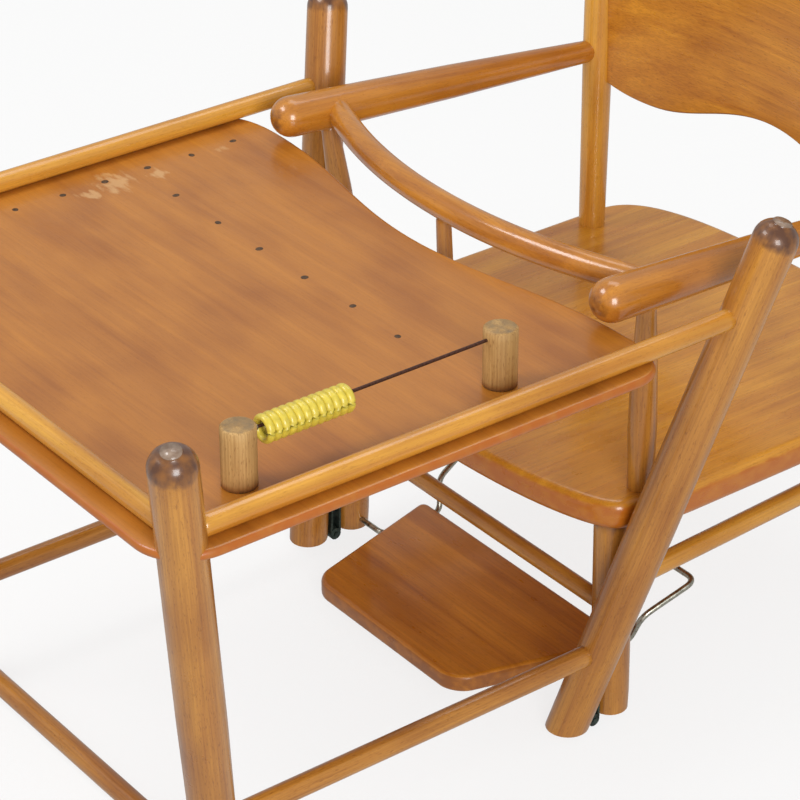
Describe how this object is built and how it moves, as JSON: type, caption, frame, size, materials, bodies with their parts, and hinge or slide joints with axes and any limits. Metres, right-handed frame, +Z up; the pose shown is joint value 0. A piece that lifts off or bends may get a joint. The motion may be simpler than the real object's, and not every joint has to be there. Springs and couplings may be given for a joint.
{
  "type": "child's chair with hinged play table",
  "caption": "Turned-wood child's chair with arms, guard bow and footrest, hinged at the floor to a play table with a railed tray and a bead wire; the table folds under to raise the chair.",
  "frame": {"origin": "middle of the footprint on the floor, under the chair and table together", "axes": "+Z up, -Y from the chair towards the table, +X the seated child's left"},
  "size_m": [0.518, 0.7683, 0.52],
  "materials": {
    "turned_wood": "varnished turned beech with vertical grain, scuffed at the ends",
    "rail_wood": "glossy varnished pale beech dowel",
    "board_wood": "varnished beech board, worn in places, darker at its rounded edges",
    "wood_bare": "bare unvarnished wood, grey with handling",
    "bead_yellow": "glossy yellow lacquer",
    "wire_dark": "dark tarnished steel wire",
    "wire_bright": "bright nickel-plated steel wire",
    "hinge_iron": "dull dark green-grey iron"
  },
  "bodies": {
    "chair": {"seat": "board_wood", "chair_front_leg_left": "turned_wood", "chair_front_leg_right": "turned_wood", "chair_rear_leg_left": "turned_wood", "chair_rear_leg_right": "turned_wood", "chair_stretcher_front": "turned_wood", "chair_stretcher_rear": "turned_wood", "chair_stretcher_left": "turned_wood", "chair_stretcher_right": "turned_wood", "arm_left": "turned_wood", "arm_right": "turned_wood", "arm_post_left": "turned_wood", "arm_post_right": "turned_wood", "back_post_left": "turned_wood", "back_post_right": "turned_wood", "guard_bow": "turned_wood", "crotch_post": "turned_wood", "backrest": "board_wood", "hinge_chair_leaf_left": "hinge_iron", "hinge_chair_leaf_right": "hinge_iron", "hinge_pin_left": "hinge_iron", "hinge_pin_right": "hinge_iron"},
    "table": {"table_front_post_left": "turned_wood", "table_front_post_right": "turned_wood", "table_hinge_leg_left": "turned_wood", "table_hinge_leg_right": "turned_wood", "tray_rail_front": "rail_wood", "tray_rail_left": "rail_wood", "tray_rail_right": "rail_wood", "table_stretcher_front": "turned_wood", "table_stretcher_left": "turned_wood", "table_stretcher_right": "turned_wood", "tray_board": "board_wood", "tray_batten_cross": "turned_wood", "tray_batten_left": "turned_wood", "tray_batten_right": "turned_wood", "bead_peg_front": "wood_bare", "bead_peg_rear": "wood_bare", "bead_wire": "wire_dark", "hinge_table_leaf_left": "hinge_iron", "hinge_table_leaf_right": "hinge_iron"},
    "footrest": {"footrest_board": "board_wood", "footrest_wire": "wire_bright"},
    "bead_01": {"bead_01": "bead_yellow"},
    "bead_02": {"bead_02": "bead_yellow"},
    "bead_03": {"bead_03": "bead_yellow"},
    "bead_04": {"bead_04": "bead_yellow"},
    "bead_05": {"bead_05": "bead_yellow"},
    "bead_06": {"bead_06": "bead_yellow"},
    "bead_07": {"bead_07": "bead_yellow"},
    "bead_08": {"bead_08": "bead_yellow"},
    "bead_09": {"bead_09": "bead_yellow"},
    "bead_10": {"bead_10": "bead_yellow"},
    "bead_11": {"bead_11": "bead_yellow"},
    "bead_12": {"bead_12": "bead_yellow"}
  },
  "joints": [
    {"name": "table_fold", "type": "hinge", "parent": "chair", "child": "table", "pos_m": [0, 0.03128, 0.0052], "axis": [1, 0, 0], "range_deg": [0, 177.5]},
    {"name": "footrest_pivot", "type": "hinge", "parent": "chair", "child": "footrest", "pos_m": [0, 0.0522, 0.014], "axis": [1, 0, 0], "range_deg": [-70, 50]},
    {"name": "bead_01_slide", "type": "slide", "parent": "table", "child": "bead_01", "axis": [0, 1, 0], "range_m": [-0.0045, 0.0535]},
    {"name": "bead_02_slide", "type": "slide", "parent": "bead_01", "child": "bead_02", "axis": [0, 1, 0], "range_m": [0, 0.0535]},
    {"name": "bead_03_slide", "type": "slide", "parent": "bead_01", "child": "bead_03", "axis": [0, 1, 0], "range_m": [0, 0.0535]},
    {"name": "bead_04_slide", "type": "slide", "parent": "bead_01", "child": "bead_04", "axis": [0, 1, 0], "range_m": [0, 0.0535]},
    {"name": "bead_05_slide", "type": "slide", "parent": "bead_01", "child": "bead_05", "axis": [0, 1, 0], "range_m": [0, 0.0535]},
    {"name": "bead_06_slide", "type": "slide", "parent": "bead_01", "child": "bead_06", "axis": [0, 1, 0], "range_m": [0, 0.0535]},
    {"name": "bead_07_slide", "type": "slide", "parent": "bead_01", "child": "bead_07", "axis": [0, 1, 0], "range_m": [0, 0.0535]},
    {"name": "bead_08_slide", "type": "slide", "parent": "bead_01", "child": "bead_08", "axis": [0, 1, 0], "range_m": [0, 0.0535]},
    {"name": "bead_09_slide", "type": "slide", "parent": "bead_01", "child": "bead_09", "axis": [0, 1, 0], "range_m": [0, 0.0535]},
    {"name": "bead_10_slide", "type": "slide", "parent": "bead_01", "child": "bead_10", "axis": [0, 1, 0], "range_m": [0, 0.0535]},
    {"name": "bead_11_slide", "type": "slide", "parent": "bead_01", "child": "bead_11", "axis": [0, 1, 0], "range_m": [0, 0.0535]},
    {"name": "bead_12_slide", "type": "slide", "parent": "bead_01", "child": "bead_12", "axis": [0, 1, 0], "range_m": [0, 0.0535]}
  ],
  "couplings": [
    {"joint": "bead_02_slide", "follows": "bead_12_slide", "ratio": 0.090909},
    {"joint": "bead_03_slide", "follows": "bead_12_slide", "ratio": 0.18182},
    {"joint": "bead_04_slide", "follows": "bead_12_slide", "ratio": 0.27273},
    {"joint": "bead_05_slide", "follows": "bead_12_slide", "ratio": 0.36364},
    {"joint": "bead_06_slide", "follows": "bead_12_slide", "ratio": 0.45454},
    {"joint": "bead_07_slide", "follows": "bead_12_slide", "ratio": 0.54546},
    {"joint": "bead_08_slide", "follows": "bead_12_slide", "ratio": 0.63636},
    {"joint": "bead_09_slide", "follows": "bead_12_slide", "ratio": 0.72727},
    {"joint": "bead_10_slide", "follows": "bead_12_slide", "ratio": 0.81818},
    {"joint": "bead_11_slide", "follows": "bead_12_slide", "ratio": 0.90909}
  ]
}
